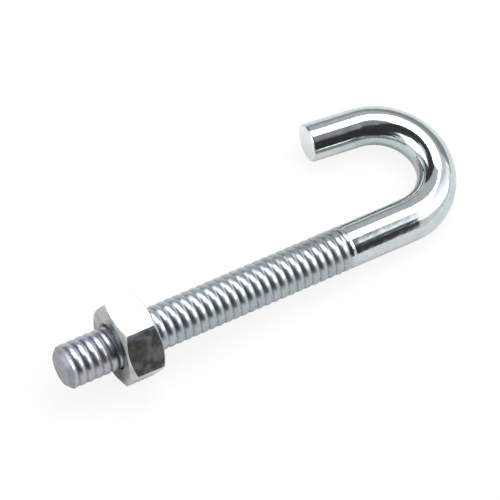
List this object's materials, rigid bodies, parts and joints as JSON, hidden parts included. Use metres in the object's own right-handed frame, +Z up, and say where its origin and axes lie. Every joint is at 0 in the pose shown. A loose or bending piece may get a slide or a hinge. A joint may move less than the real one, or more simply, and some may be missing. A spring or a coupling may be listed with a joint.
{
  "type": "j bolt",
  "caption": "Rod threaded at one end and bent into an open J hook at the other, with a hex nut on the thread.",
  "frame": {"origin": "centre of the lying part's footprint, on the surface that it rests on", "axes": "+X from the threaded end towards the hook, +Y from the straight rod towards the hook's leg, +Z up; the rod falls 3.6 degrees towards the hook"},
  "size_m": [0.0666, 0.0264, 0.0123],
  "materials": {
    "rod": "bright zinc plate over cold-drawn steel, cool grey and mirror-like on the plain rod, with faint violet and straw tints in the thread",
    "nut": "bright zinc plate, a little duller on the pressed flats"
  },
  "bodies": {
    "bolt": {"j_bolt": "rod"},
    "nut": {"hex_nut": "nut"}
  },
  "joints": [
    {"name": "nut_travel", "type": "slide", "parent": "bolt", "child": "nut", "axis": [0.998, 0, -0.063], "range_m": [-0.01397, 0.02921]}
  ]
}
